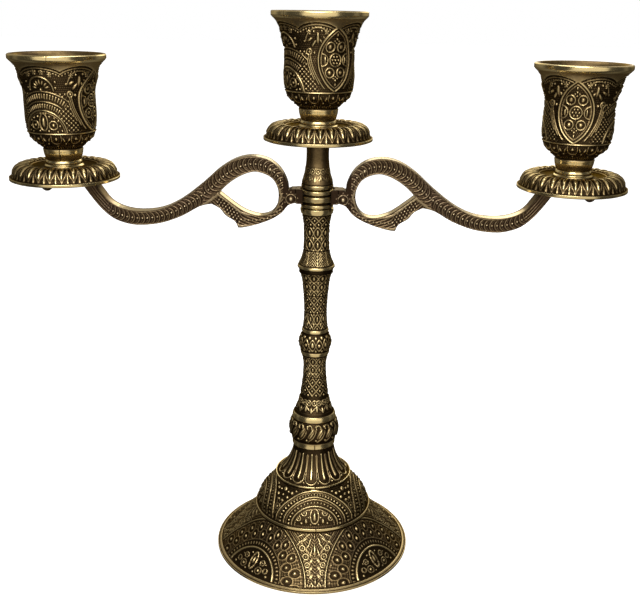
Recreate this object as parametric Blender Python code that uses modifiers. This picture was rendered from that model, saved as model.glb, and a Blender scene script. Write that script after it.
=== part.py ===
"""Three-light candelabra: cast sections stacked on one tie rod, with two scrolled arms.

The sections of the stem are clamped between the base and the centre cup by a rod with a nut
inside the bell of the base. The arms screw to the hub with studs. Each side cup and its drip
pan are held to the pad at the end of an arm by a screw from below.
The origin is at the middle of the base, on the surface it stands on. +Z is up, +X is along the
right arm. Lengths are in millimetres up to the point where they go into Blender.
"""

import math

import bmesh
import bpy
from mathutils import Matrix, Vector

MM = 0.001                 # one millimetre in Blender's metres

# ------------------------------------------------------------------ driving dimensions, mm
OVERALL_HEIGHT = 270.0
BASE_RADIUS = 50.2
CUP_RIM_RADIUS = 22.0
PAN_RADIUS = 25.4
ARM_REACH = 119.4          # from the stem's axis to the axis of a side cup
SIDE_DROP = 20.5           # how far the side lights stand below the centre one
ARM_DEPTH = 8.5            # front face to back face of an arm
CLEARANCE = 0.3            # between pieces that touch

ROD_RADIUS = 3.0           # M6 tie rod
STUD_RADIUS = 2.0          # M4 studs and cup screws
ROD_HOLE = ROD_RADIUS + CLEARANCE
STUD_HOLE = STUD_RADIUS + CLEARANCE
NUT_ACROSS_FLATS = 10.0
NUT_THICKNESS = 5.0
BASE_WASHER_RADIUS = 9.0
BASE_WASHER_THICKNESS = 1.6
CUP_WASHER_RADIUS = 4.5
CUP_WASHER_THICKNESS = 0.7
SCREW_HEAD_RADIUS = 3.6
SCREW_HEAD_HEIGHT = 2.1
SCREW_SLOT_WIDTH = 0.9
SCREW_SLOT_DEPTH = 0.9

# Levels of the joints in the stack, from the table up.
BASE_TOP = 57.6
BASE_ROOF_THICKNESS = 9.0  # solid metal under the top of the base
BULB_TOP = 72.3
RIDGE_JOINT = 149.2
HUB_BOTTOM = 181.1
HUB_TOP = 190.0
CENTRE_PAN_SEAT = 217.5    # top of the stem, under the centre pan
STUD_HEIGHT = 186.6        # axis of the studs that hold the arms
STUD_INNER = 3.8           # where a stud starts and ends, out from the axis
STUD_OUTER = 12.8

# Heights within one light, below the top of its rim.
PAN_EDGE_DROP = 56.2       # the pan's widest circle
PAN_SEAT_DROP = OVERALL_HEIGHT - CENTRE_PAN_SEAT - CLEARANCE
PAN_BOSS_DROP = 48.0       # top of the boss that the cup stands on
CUP_FOOT_DROP = PAN_BOSS_DROP - CLEARANCE
SOCKET_TOP_DROP = 24.5
SOCKET_FLOOR_DROP = 36.5
FOOT_HOLE_TOP_DROP = 40.3
SOCKET_RADIUS = 11.3       # takes a 22 mm dinner candle
CUP_BORE_RADIUS = 13.4

# The pad at the end of an arm and the ball beyond it.
PAD_TOP = CENTRE_PAN_SEAT - SIDE_DROP
PAD_THICKNESS = 3.0
PAD_RADIUS = 5.6
TIP_RADIUS = 2.85
TIP_OFFSET = 9.1           # outboard of the cup's axis
TIP_HEIGHT = 188.8

# The flange that hugs the hub.
HUB_RADIUS = 7.7
FLANGE_RADIUS = 9.8
FLANGE_HALF_WIDTH = 4.8
FLANGE_BOTTOM = 183.2
FLANGE_TOP = 190.0

# Facets round a full turn.
BASE_STEPS = 36
LIGHT_STEPS = 24
STEM_STEPS = 16
HARDWARE_STEPS = 12

# Colours of the castings and the hardware: base colour, roughness, metallic.
ANTIQUE_BRASS = ((0.30, 0.20, 0.08), 0.38, 1.0)
DARK_BRASS = ((0.16, 0.11, 0.05), 0.45, 1.0)
ZINC_STEEL = ((0.55, 0.55, 0.52), 0.35, 1.0)


# ------------------------------------------------------------------ scene and helpers
def clear_scene():
    for obj in list(bpy.data.objects):
        bpy.data.objects.remove(obj, do_unlink=True)


def new_collection(name):
    collection = bpy.data.collections.new(name)
    bpy.context.scene.collection.children.link(collection)
    return collection


def finish_material(name, finish):
    colour, roughness, metallic = finish
    material = bpy.data.materials.new(name)
    material.use_nodes = True
    shader = material.node_tree.nodes["Principled BSDF"]
    shader.inputs["Base Color"].default_value = (*colour, 1.0)
    shader.inputs["Roughness"].default_value = roughness
    shader.inputs["Metallic"].default_value = metallic
    return material


def add_piece(name, mesh, finish, axis_x=0.0):
    """Adds a piece whose origin is on the vertical axis at axis_x, which it turns about."""
    mesh.materials.append(finish_material(name + "_finish", finish))
    piece = bpy.data.objects.new(name, mesh)
    piece.location.x = axis_x * MM
    PIECES.objects.link(piece)
    return piece


def turned(name, profile, finish, steps, axis_x=0.0):
    """A solid of revolution. The profile runs down the outside; it is a closed ring where it
    starts off the axis, and otherwise both its ends are on the axis."""
    points = [(radius * MM, 0.0, height * MM) for radius, height in profile]
    edges = [(i, i + 1) for i in range(len(points) - 1)]
    if profile[0][0] > 0.0:
        edges.append((len(points) - 1, 0))
    mesh = bpy.data.meshes.new(name)
    mesh.from_pydata(points, edges, [])
    piece = add_piece(name, mesh, finish, axis_x)
    screw = piece.modifiers.new("turn", "SCREW")
    screw.axis = "Z"
    screw.steps = steps
    screw.render_steps = steps
    screw.use_merge_vertices = True
    screw.merge_threshold = 0.00001
    screw.use_smooth_shade = True
    return piece


def boolean(piece, tool, operation):
    modifier = piece.modifiers.new(operation.lower() + "_" + tool.name, "BOOLEAN")
    modifier.operation = operation
    modifier.solver = "EXACT"
    modifier.object = tool


def tool_object(name, mesh):
    tool = bpy.data.objects.new(name, mesh)
    tool.display_type = "WIRE"
    tool.hide_render = True
    TOOLS.objects.link(tool)
    return tool


def tool_cylinder(name, radius, start, end, sides):
    """A cylinder between two points, in millimetres."""
    start, end = Vector(start) * MM, Vector(end) * MM
    along = end - start
    turn = along.to_track_quat("Z", "Y").to_matrix().to_4x4()
    matrix = Matrix.Translation((start + end) / 2) @ turn
    mesh = bpy.data.meshes.new(name)
    shape = bmesh.new()
    bmesh.ops.create_cone(shape, cap_ends=True, segments=sides, radius1=radius * MM,
                          radius2=radius * MM, depth=along.length, matrix=matrix)
    shape.to_mesh(mesh)
    shape.free()
    return tool_object(name, mesh)


def tool_box(name, low, high):
    low, high = Vector(low) * MM, Vector(high) * MM
    size = high - low
    matrix = Matrix.Translation((low + high) / 2) @ Matrix.Diagonal((*size, 1.0))
    mesh = bpy.data.meshes.new(name)
    shape = bmesh.new()
    bmesh.ops.create_cube(shape, size=1.0, matrix=matrix)
    shape.to_mesh(mesh)
    shape.free()
    return tool_object(name, mesh)


def tool_ball(name, radius, centre):
    mesh = bpy.data.meshes.new(name)
    shape = bmesh.new()
    bmesh.ops.create_uvsphere(shape, u_segments=12, v_segments=8, radius=radius * MM,
                              matrix=Matrix.Translation(Vector(centre) * MM))
    shape.to_mesh(mesh)
    shape.free()
    return tool_object(name, mesh)


def smooth_run(points, parts=3):
    """Points on a Catmull-Rom curve through the given ones, without the last."""
    ends = [points[0], *points, points[-1]]
    run = []
    for before, start, end, after in zip(ends, ends[1:], ends[2:], ends[3:]):
        for step in range(parts):
            t = step / parts
            run.append(tuple(
                0.5 * (2 * b + (c - a) * t + (2 * a - 5 * b + 4 * c - d) * t * t
                       + (3 * b - a - 3 * c + d) * t ** 3)
                for a, b, c, d in zip(before, start, end, after)))
    return run



# ------------------------------------------------------------------ base and stem
def make_base():
    """Skirt, middle dome and fluted neck in one casting, open below."""
    outside = [
        (10.9, BASE_TOP), (10.8, 55.5), (11.2, 53.0), (12.2, 50.0), (14.0, 46.5),
        (16.4, 43.5), (18.0, 42.0), (19.4, 41.4), (19.6, 40.2), (18.9, 39.4),
        (20.0, 38.8), (22.4, 36.0), (25.3, 33.0), (27.4, 30.0), (28.7, 27.0),
        (29.1, 24.6), (29.9, 23.7), (29.9, 22.5), (29.2, 21.8), (31.3, 19.5),
        (36.1, 14.0), (41.9, 8.4), (45.4, 5.0), (48.2, 2.5), (BASE_RADIUS, 1.6),
        (BASE_RADIUS, 0.7), (49.4, 0.0),
    ]
    roof = BASE_TOP - BASE_ROOF_THICKNESS
    inside = [
        (46.4, 0.0), (45.9, 1.2), (42.2, 4.2), (33.4, 13.0), (27.8, 18.6), (26.4, 21.0),
        (26.0, 26.0), (23.6, 30.4), (17.0, 37.6), (15.6, 39.6), (13.6, 43.0), (11.0, roof),
        (ROD_HOLE, roof), (ROD_HOLE, BASE_TOP),
    ]
    return turned("base", outside + inside, ANTIQUE_BRASS, BASE_STEPS)


def stem_section(name, outside, finish=ANTIQUE_BRASS):
    """A cast section bored for the tie rod."""
    bottom, top = outside[-1][1], outside[0][1]
    bore = [(ROD_HOLE, bottom), (ROD_HOLE, top)]
    return turned(name, outside + bore, finish, STEM_STEPS)


def make_stem():
    stem_section("stem_bulb", [
        (11.1, BULB_TOP), (12.3, 70.0), (12.9, 67.0), (12.9, 64.5), (12.3, 62.2),
        (11.1, 60.2), (10.9, BASE_TOP + CLEARANCE),
    ])
    stem_section("stem_lower", [
        (8.6, RIDGE_JOINT), (7.8, 148.2), (7.1, 145.8), (6.5, 141.0), (6.2, 137.0),
        (6.2, 122.0), (7.1, 117.5), (8.2, 114.4), (8.4, 112.6), (7.6, 109.6),
        (6.9, 106.5), (6.3, 104.5), (6.3, 93.0), (7.1, 86.7), (8.5, 80.0),
        (10.2, 76.0), (11.0, 73.6), (11.0, BULB_TOP + CLEARANCE),
    ])
    stem_section("stem_upper", [
        (7.9, HUB_BOTTOM - CLEARANCE), (7.9, 179.6), (7.3, 177.2), (6.6, 173.4),
        (6.3, 168.5), (6.3, 163.8), (6.7, 159.3), (7.5, 156.2), (8.9, 153.0),
        (9.1, 152.2), (8.6, RIDGE_JOINT + CLEARANCE),
    ])
    stem_section("stem_top", [
        (5.75, CENTRE_PAN_SEAT), (5.75, 201.5), (6.1, 198.5), (6.7, 195.9),
        (7.6, 193.0), (7.6, 191.2), (7.2, HUB_TOP + CLEARANCE),
    ])


def make_hub():
    """The collar that the arms screw to, with three ribs round it."""
    root = HUB_RADIUS - 0.6
    hub = stem_section("arm_hub", [
        (7.2, HUB_TOP), (HUB_RADIUS, 189.2), (HUB_RADIUS, 188.0), (root, 187.4),
        (HUB_RADIUS, 186.2), (HUB_RADIUS, 185.0), (root, 183.4), (HUB_RADIUS, 182.6),
        (HUB_RADIUS, 181.7), (7.2, HUB_BOTTOM),
    ])
    for side, name in ((-1, "left"), (1, "right")):
        hole = tool_cylinder("hub_stud_hole_" + name, STUD_HOLE, (2.0 * side, 0, STUD_HEIGHT),
                             (12.0 * side, 0, STUD_HEIGHT), HARDWARE_STEPS)
        boolean(hub, hole, "DIFFERENCE")


def make_tie_rod():
    """Rod, washer and nut: the nut sits inside the bell and the rod ends in the centre cup."""
    top = OVERALL_HEIGHT - FOOT_HOLE_TOP_DROP - CLEARANCE
    washer_top = BASE_TOP - BASE_ROOF_THICKNESS - CLEARANCE
    washer_bottom = washer_top - BASE_WASHER_THICKNESS
    nut_top = washer_bottom - CLEARANCE
    nut_bottom = nut_top - NUT_THICKNESS
    rod_end = nut_bottom - 3.0
    chamfer = 0.6
    turned("tie_rod", [
        (0.0, top), (ROD_RADIUS - chamfer, top), (ROD_RADIUS, top - chamfer),
        (ROD_RADIUS, rod_end + chamfer), (ROD_RADIUS - chamfer, rod_end), (0.0, rod_end),
    ], ZINC_STEEL, HARDWARE_STEPS)
    turned("base_washer", [
        (BASE_WASHER_RADIUS, washer_top), (BASE_WASHER_RADIUS, washer_bottom),
        (ROD_HOLE, washer_bottom), (ROD_HOLE, washer_top),
    ], ZINC_STEEL, HARDWARE_STEPS)

    mesh = bpy.data.meshes.new("base_nut")
    shape = bmesh.new()
    corner_radius = NUT_ACROSS_FLATS / 2 / math.cos(math.pi / 6)
    bmesh.ops.create_cone(shape, cap_ends=True, segments=6, radius1=corner_radius * MM,
                          radius2=corner_radius * MM, depth=NUT_THICKNESS * MM,
                          matrix=Matrix.Translation((0, 0, (nut_top + nut_bottom) / 2 * MM)))
    shape.to_mesh(mesh)
    shape.free()
    nut = add_piece("base_nut", mesh, ZINC_STEEL)
    bore = tool_cylinder("nut_bore", ROD_HOLE, (0, 0, nut_bottom - 2), (0, 0, nut_top + 2),
                         HARDWARE_STEPS)
    boolean(nut, bore, "DIFFERENCE")


# ------------------------------------------------------------------ lights
def make_light(name, axis_x, rim_top, hole):
    """One cup and the drip pan under it. Heights are counted down from the rim."""
    def level(points):
        return [(radius, rim_top - drop) for radius, drop in points]

    cup_outside = [
        (20.2, 0.0), (21.6, 0.0), (CUP_RIM_RADIUS, 0.4), (CUP_RIM_RADIUS, 1.9), (21.4, 2.7),
        (19.9, 4.3), (18.5, 7.2), (18.0, 10.2), (17.2, 12.7), (16.4, 15.6), (16.2, 22.0),
        (16.2, 30.0), (15.4, 35.6), (14.2, 38.0), (11.2, 40.9), (9.3, 42.9), (8.9, 45.0),
        (8.1, CUP_FOOT_DROP),
    ]
    foot_hole = [
        (hole, CUP_FOOT_DROP), (hole, FOOT_HOLE_TOP_DROP), (0.0, FOOT_HOLE_TOP_DROP),
    ]
    cup_inside = [
        (0.0, SOCKET_FLOOR_DROP), (SOCKET_RADIUS, SOCKET_FLOOR_DROP),
        (SOCKET_RADIUS, SOCKET_TOP_DROP), (CUP_BORE_RADIUS, SOCKET_TOP_DROP - 0.5),
        (CUP_BORE_RADIUS, 15.0), (15.2, 10.0), (18.9, 1.6),
    ]
    turned("candle_cup_" + name, level(cup_inside + cup_outside + foot_hole),
           ANTIQUE_BRASS, LIGHT_STEPS, axis_x)

    pan = [
        (7.9, PAN_BOSS_DROP), (8.2, 48.6), (8.3, 50.1), (9.4, 50.7), (13.0, 50.8),
        (16.6, 49.5), (19.6, 49.4), (22.3, 50.5), (24.0, 52.9), (24.6, 55.0),
        (PAN_RADIUS, PAN_EDGE_DROP - 0.5), (PAN_RADIUS, PAN_EDGE_DROP + 0.7), (24.4, 57.3),
        (23.6, 56.8), (22.9, 54.4), (21.2, 52.2), (18.6, 51.3), (15.8, 51.6),
        (13.4, 52.5), (8.4, PAN_SEAT_DROP), (hole, PAN_SEAT_DROP), (hole, PAN_BOSS_DROP),
    ]
    turned("drip_pan_" + name, level(pan), ANTIQUE_BRASS, LIGHT_STEPS, axis_x)


# ------------------------------------------------------------------ arms
def arm_outline():
    """The arm seen from the front, as runs that are smooth inside and meet at corners."""
    pad_bottom = PAD_TOP - PAD_THICKNESS
    tip_x = ARM_REACH + TIP_OFFSET
    crest = [   # from the flange over the loop, down to the trough and up to the pad
        (13.6, 189.2), (13.9, 192.4), (16.0, 197.2), (19.2, 201.0), (24.0, 203.9),
        (31.0, 205.0), (38.5, 203.3), (46.2, 198.6), (54.0, 191.6), (64.4, 183.6),
        (74.0, 179.0), (84.0, 177.7), (92.0, 178.8), (98.2, 182.0), (102.6, 187.8),
        (107.0, 193.4), (111.0, 196.2), (ARM_REACH - PAD_RADIUS + 1, PAD_TOP),
    ]
    tip = [     # beyond the pad, down to the ball
        (ARM_REACH + PAD_RADIUS - 1, PAD_TOP), (tip_x + 1.2, 195.6), (tip_x + 2.0, TIP_HEIGHT),
    ]
    tip_inside = [
        (tip_x - 2.0, TIP_HEIGHT), (tip_x - 2.4, 193.0), (ARM_REACH + 4.0, pad_bottom),
    ]
    underside = [   # from the pad back along the trough to where the branch leaves
        (ARM_REACH - 4.6, pad_bottom), (111.0, 190.8), (106.6, 184.6), (102.0, 178.8),
        (96.5, 174.2), (90.0, 171.8), (83.5, 171.2), (74.0, 172.4), (64.0, 176.0),
        (55.5, 180.8), (49.8, 182.2),
    ]
    branch = [      # the lower branch as far as the pointed leaf
        (49.8, 182.2), (45.8, 180.0), (43.2, 176.8), (38.8, 174.0), (37.4, 170.9),
    ]
    branch_end = [  # from the leaf back to the flange
        (37.4, 170.9), (34.0, 171.2), (27.4, 173.0), (21.0, 175.6), (16.6, 178.6),
        (13.6, 182.2), (10.4, 183.4),
    ]
    flange = [(7.0, FLANGE_BOTTOM), (7.0, FLANGE_TOP), (12.0, FLANGE_TOP)]
    outline = []
    for run in (crest, tip, tip_inside, underside, branch, branch_end):
        outline += smooth_run(run)
        outline.append(run[-1])
    outline += flange
    return [point for i, point in enumerate(outline) if point != outline[i - 1]]


def loop_outline():
    """The teardrop opening between the arm and its lower branch."""
    round_end = [
        (46.3, 187.3), (38.6, 181.4), (34.0, 178.6), (29.0, 177.0), (25.0, 176.9),
        (21.4, 178.4), (19.0, 181.8), (18.1, 186.0), (18.5, 190.4), (20.8, 194.6),
        (24.8, 197.0), (30.0, 197.8), (36.2, 195.6), (41.8, 191.8), (46.3, 187.3),
    ]
    return smooth_run(round_end)


def flat_casting(name, outlines, thickness, finish):
    """Flat outlines in the X-Z plane, filled and thickened evenly to both sides."""
    curve = bpy.data.curves.new(name + "_curve", "CURVE")
    curve.dimensions = "2D"
    curve.fill_mode = "BOTH"
    curve.extrude = thickness / 2 * MM
    for outline in outlines:
        spline = curve.splines.new("POLY")
        spline.points.add(len(outline) - 1)
        for point, (x, z) in zip(spline.points, outline):
            point.co = (x * MM, z * MM, 0.0, 1.0)
        spline.use_cyclic_u = True
    flat = bpy.data.objects.new(name + "_flat", curve)
    flat.rotation_euler = (math.pi / 2, 0.0, 0.0)
    TOOLS.objects.link(flat)
    bpy.context.view_layer.update()
    evaluated = flat.evaluated_get(bpy.context.evaluated_depsgraph_get())
    mesh = bpy.data.meshes.new_from_object(evaluated)
    mesh.transform(flat.matrix_world)
    bpy.data.objects.remove(flat, do_unlink=True)
    shape = bmesh.new()
    shape.from_mesh(mesh)
    bmesh.ops.remove_doubles(shape, verts=shape.verts, dist=0.000001)
    bmesh.ops.recalc_face_normals(shape, faces=shape.faces)
    shape.to_mesh(mesh)
    shape.free()
    mesh.name = name
    mesh.materials.clear()
    return add_piece(name, mesh, finish)


def make_arm(name, side):
    """One arm: side is 1 for the right arm and -1 for the left."""
    def across(points):
        return [(side * x, z) for x, z in points]

    arm = flat_casting("arm_" + name, [across(arm_outline()), across(loop_outline())],
                       ARM_DEPTH, DARK_BRASS)
    cup_x = side * ARM_REACH
    pad_bottom = PAD_TOP - PAD_THICKNESS
    boolean(arm, tool_box("flange_" + name,
                          (min(side * 6.5, side * FLANGE_RADIUS), -FLANGE_HALF_WIDTH,
                           FLANGE_BOTTOM - 0.1),
                          (max(side * 6.5, side * FLANGE_RADIUS), FLANGE_HALF_WIDTH,
                           FLANGE_TOP + 0.1)), "UNION")
    boolean(arm, tool_cylinder("pad_" + name, PAD_RADIUS, (cup_x, 0, pad_bottom - 0.05),
                               (cup_x, 0, PAD_TOP + 0.05), 20), "UNION")
    boolean(arm, tool_ball("tip_" + name, TIP_RADIUS,
                           (side * (ARM_REACH + TIP_OFFSET), 0, TIP_HEIGHT)), "UNION")
    boolean(arm, tool_cylinder("hub_clearance_" + name, HUB_RADIUS + CLEARANCE,
                               (0, 0, FLANGE_BOTTOM - 5), (0, 0, FLANGE_TOP + 5), 40),
            "DIFFERENCE")
    boolean(arm, tool_cylinder("arm_stud_hole_" + name, STUD_HOLE,
                               (side * 5.0, 0, STUD_HEIGHT), (side * 13.2, 0, STUD_HEIGHT),
                               HARDWARE_STEPS), "DIFFERENCE")
    boolean(arm, tool_cylinder("pad_hole_" + name, STUD_HOLE, (cup_x, 0, pad_bottom - 3),
                               (cup_x, 0, PAD_TOP + 3), HARDWARE_STEPS), "DIFFERENCE")


def make_stud(name, side):
    """A threaded stud that joins the arm to the hub."""
    inner, outer, chamfer = STUD_INNER, STUD_OUTER, 0.4
    profile = [
        (0.0, outer), (STUD_RADIUS - chamfer, outer), (STUD_RADIUS, outer - chamfer),
        (STUD_RADIUS, inner + chamfer), (STUD_RADIUS - chamfer, inner), (0.0, inner),
    ]
    stud = turned("arm_stud_" + name, profile, ZINC_STEEL, HARDWARE_STEPS)
    stud.rotation_euler = (0.0, side * math.pi / 2, 0.0)
    stud.location.z = STUD_HEIGHT * MM


def make_cup_fixing(name, side):
    """The screw and washer under the pad, which hold the pan and the cup."""
    cup_x = side * ARM_REACH
    washer_top = PAD_TOP - PAD_THICKNESS - 0.05 - CLEARANCE
    washer_bottom = washer_top - CUP_WASHER_THICKNESS
    turned("cup_washer_" + name, [
        (CUP_WASHER_RADIUS, washer_top), (CUP_WASHER_RADIUS, washer_bottom),
        (STUD_HOLE, washer_bottom), (STUD_HOLE, washer_top),
    ], ZINC_STEEL, HARDWARE_STEPS, cup_x)
    head_top = washer_bottom - CLEARANCE
    head_bottom = head_top - SCREW_HEAD_HEIGHT
    shank_top = OVERALL_HEIGHT - SIDE_DROP - FOOT_HOLE_TOP_DROP - 1.2
    screw = turned("cup_screw_" + name, [
        (0.0, shank_top), (STUD_RADIUS - 0.4, shank_top), (STUD_RADIUS, shank_top - 0.4),
        (STUD_RADIUS, head_top), (SCREW_HEAD_RADIUS, head_top),
        (SCREW_HEAD_RADIUS, head_top - 0.9), (SCREW_HEAD_RADIUS - 0.9, head_bottom),
        (0.0, head_bottom),
    ], ZINC_STEEL, HARDWARE_STEPS, cup_x)
    slot = tool_box("slot_" + name,
                    (cup_x - SCREW_HEAD_RADIUS - 1, -SCREW_SLOT_WIDTH / 2, head_bottom - 1),
                    (cup_x + SCREW_HEAD_RADIUS + 1, SCREW_SLOT_WIDTH / 2,
                     head_bottom + SCREW_SLOT_DEPTH))
    boolean(screw, slot, "DIFFERENCE")


# ------------------------------------------------------------------ the whole candelabra
clear_scene()
PIECES = new_collection("candelabra")
TOOLS = new_collection("cutters")

make_base()
make_tie_rod()
make_stem()
make_hub()
make_light("centre", 0.0, OVERALL_HEIGHT, ROD_HOLE)
for arm_name, arm_side in (("left", -1), ("right", 1)):
    make_arm(arm_name, arm_side)
    make_stud(arm_name, arm_side)
    make_light(arm_name, arm_side * ARM_REACH, OVERALL_HEIGHT - SIDE_DROP, STUD_HOLE)
    make_cup_fixing(arm_name, arm_side)
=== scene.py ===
import math

import bpy
import numpy as np
from mathutils import Matrix, Vector


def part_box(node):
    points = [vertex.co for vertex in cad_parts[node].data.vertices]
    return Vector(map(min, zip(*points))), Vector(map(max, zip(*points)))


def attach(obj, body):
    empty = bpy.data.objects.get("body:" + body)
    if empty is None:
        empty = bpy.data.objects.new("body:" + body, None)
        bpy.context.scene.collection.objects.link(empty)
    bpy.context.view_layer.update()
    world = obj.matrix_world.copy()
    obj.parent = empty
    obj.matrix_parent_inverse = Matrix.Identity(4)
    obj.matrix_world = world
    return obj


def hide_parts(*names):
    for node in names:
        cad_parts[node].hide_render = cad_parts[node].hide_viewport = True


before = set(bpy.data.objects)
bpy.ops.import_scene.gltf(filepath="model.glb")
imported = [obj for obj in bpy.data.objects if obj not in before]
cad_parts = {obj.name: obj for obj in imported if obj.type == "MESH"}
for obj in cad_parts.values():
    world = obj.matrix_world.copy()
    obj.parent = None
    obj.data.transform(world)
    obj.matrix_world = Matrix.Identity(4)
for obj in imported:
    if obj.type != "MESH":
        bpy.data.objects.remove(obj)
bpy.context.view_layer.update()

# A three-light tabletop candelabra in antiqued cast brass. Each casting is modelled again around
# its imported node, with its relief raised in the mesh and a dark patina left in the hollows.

MM = 0.001
FINE_STEP = 0.27        # row spacing on carved outsides, mm
PLAIN_STEP = 1.6        # row spacing on plain inner walls, mm
LIGHTS = ("left", "right", "centre")
POLISHED = 1.2          # the height that marks a polished band
POLISHED_OVER = 1.05    # what counts as polished
LOWEST = 0.05           # the ground between carvings
GLINT = 1.1             # raises a bead or rib so that only its crest counts as polished


# ---------------------------------------------------------------- relief toolkit
# Heights run from 0, the sunk ground, to 1, the casting's outer skin. Distances are in mm.
# A plain band that was polished after casting is marked by a height over 1.

def ridge(distance, half_width):
    """A rounded line that follows where the distance is nothing."""
    return np.clip(1 - (distance / half_width) ** 2, 0, 1)


def bead(across, along, radius):
    return ridge(np.hypot(across, along), radius)


def ring(across, along, radius, half_width):
    return ridge(np.hypot(across, along) - radius, half_width)


def teardrop(across, along, half_across, half_along):
    """A long bead, a little fuller towards its lower end."""
    fuller = half_across * (1 + 0.25 * np.clip(along / half_along, -1, 1))
    return ridge(np.hypot(across / fuller, along / half_along), 1)


def oval(across, along, half_across, half_along, half_width):
    """The outline of an upright oval."""
    return ridge((np.hypot(across / half_across, along / half_along) - 1) * half_across, half_width)


def tilted(across, along, degrees):
    """The same two distances, measured on axes turned by an angle."""
    c, s = math.cos(math.radians(degrees)), math.sin(math.radians(degrees))
    return across * c + along * s, along * c - across * s


def leaf(across, along, lean, half_across, half_along):
    """A teardrop that leans over."""
    return teardrop(*tilted(across, along, lean), half_across, half_along)


def fold(value, period):
    """Repeat every period, with nothing in the middle of each."""
    return (value + period / 2) % period - period / 2


def arc(turn, period, radius):
    """How far round a turned piece it is from the nearest repeat."""
    return np.radians(fold(turn, period)) * radius


def columns_round(turn, radius, count):
    """How far round it is from the nearest of so many columns, and from the nearest gap."""
    period = 360 / count
    return arc(turn, period, radius), arc(turn + period / 2, period, radius)


def ramp(value, width):
    """From nothing to one while a value grows from nothing to a width."""
    return np.clip(value / width, 0, 1)


def band(value, low, high, edge=0.3):
    """One between two levels, with soft edges."""
    return ramp(value - low, edge) * ramp(high - value, edge)


def stipple(across, along, pitch, radius=0.42):
    """Staggered rows of tiny beads, for ground that would be bare."""
    row = np.floor(along / pitch)
    return bead(fold(across + (row % 2) * pitch / 2, pitch), fold(along - pitch / 2, pitch), radius * pitch)


def tallest(*heights):
    top = heights[0]
    for height in heights[1:]:
        top = np.maximum(top, height)
    return top


def beads(across, along, *places):
    """Several beads, each given as how far across, how far along and its radius."""
    return tallest(*(bead(across - a, along - b, radius) for a, b, radius in places))


def bead_circle(across, along, count, reach, radius, first=0):
    """Beads evenly round a circle."""
    angles = [math.radians(first + 360 / count * k) for k in range(count)]
    return beads(across, along, *((reach * math.cos(a), reach * math.sin(a), radius) for a in angles))


def eye(across, along, radius, half_width, pupil):
    """A ring round a bead."""
    return tallest(ring(across, along, radius, half_width), bead(across, along, pupil))


def flower(across, along, size):
    """A small flower of a bead and five petals."""
    petals = bead_circle(across, along, 5, 0.62 * size, 0.36 * size, -90)
    return tallest(bead(across, along, 0.42 * size), petals)


def trellis(across, along, spacing, half_width):
    """Crossed thin lines with a bead at each crossing."""
    one = fold((across + along) / math.sqrt(2), spacing)
    other = fold((across - along) / math.sqrt(2), spacing)
    return tallest(0.42 * ridge(one, half_width), 0.42 * ridge(other, half_width),
                   GLINT * bead(one, other, 2.1 * half_width))


def arch(angle, height, half_angle, rise):
    """How far out a point is from an arch's foot, where 1 is on the arch itself."""
    return np.hypot(angle / half_angle, height / rise)


def soften(height, reach):
    """The relief's height averaged over a small patch round each point."""
    total = height
    for axis in (0, 1):
        total = sum(np.roll(total, k, axis) for k in range(-reach, reach + 1)) / (2 * reach + 1)
    return total


# ---------------------------------------------------------------- turned castings

def spun_outline(node):
    """The chain of (radius, height) points, in mm, that a node turned on the middle axis was spun from.

    It is read where the node crosses the plane behind its axis, which no hole cuts.
    """
    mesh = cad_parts[node].data
    links = {}
    for edge in mesh.edges:
        ends = []
        for index in edge.vertices:
            x, y, z = mesh.vertices[index].co
            if abs(x) < 1e-5 and y > -1e-5:
                ends.append((round(y / MM, 2), round(z / MM, 2)))
        if len(ends) == 2 and ends[0] != ends[1]:
            links.setdefault(ends[0], set()).add(ends[1])
            links.setdefault(ends[1], set()).add(ends[0])
    loose = [point for point, joined in links.items() if len(joined) == 1]
    here = min(loose or links, key=lambda point: (point[0], -point[1]))
    chain = [here]
    while True:
        onward = [point for point in sorted(links[here]) if point not in chain]
        if not onward:
            return np.array(chain)
        here = onward[0]
        chain.append(here)


def flowing_line(points, step, corner=52):
    """A fine line through an outline's points, curved but crisp where it turns sharply."""
    points = np.asarray(points, float)
    along = np.diff(points, axis=0)
    length = np.hypot(along[:, 0], along[:, 1])
    unit = along / length[:, None]
    leaving, arriving = list(unit), list(unit)
    for i in range(1, len(unit)):
        turn = math.degrees(math.acos(np.clip(np.dot(unit[i - 1], unit[i]), -1, 1)))
        if turn < corner:
            flow = unit[i - 1] * length[i] + unit[i] * length[i - 1]
            flow /= np.hypot(*flow)
            arriving[i - 1] = leaving[i] = flow
    line = [points[:1]]
    for i in range(len(unit)):
        t = np.linspace(0, 1, max(2, int(math.ceil(length[i] / step)) + 1))[1:, None]
        start, end = points[i], points[i + 1]
        line.append(start * (2 * t**3 - 3 * t**2 + 1) + end * (3 * t**2 - 2 * t**3)
                    + length[i] * (leaving[i] * (t**3 - 2 * t**2 + t) + arriving[i] * (t**3 - t**2)))
    return np.concatenate(line)


def outward(line):
    """Unit normals of a line that runs down the outside of a turned piece."""
    flow = np.gradient(line, axis=0)
    normal = np.stack([-flow[:, 1], flow[:, 0]], -1)
    return normal / np.hypot(normal[:, 0], normal[:, 1])[:, None]


def run_along(line):
    return np.concatenate([[0], np.cumsum(np.hypot(*np.diff(line, axis=0).T))])


def faces_between(rows, columns, wrap):
    """Quads that join the rows of a spun grid."""
    row, column = np.meshgrid(np.arange(rows if wrap else rows - 1), np.arange(columns), indexing="ij")
    lower, across = (row + 1) % rows, (column + 1) % columns
    quads = np.stack([row * columns + column, lower * columns + column,
                      lower * columns + across, row * columns + across], -1)
    return quads.reshape(-1, 4)


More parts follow.
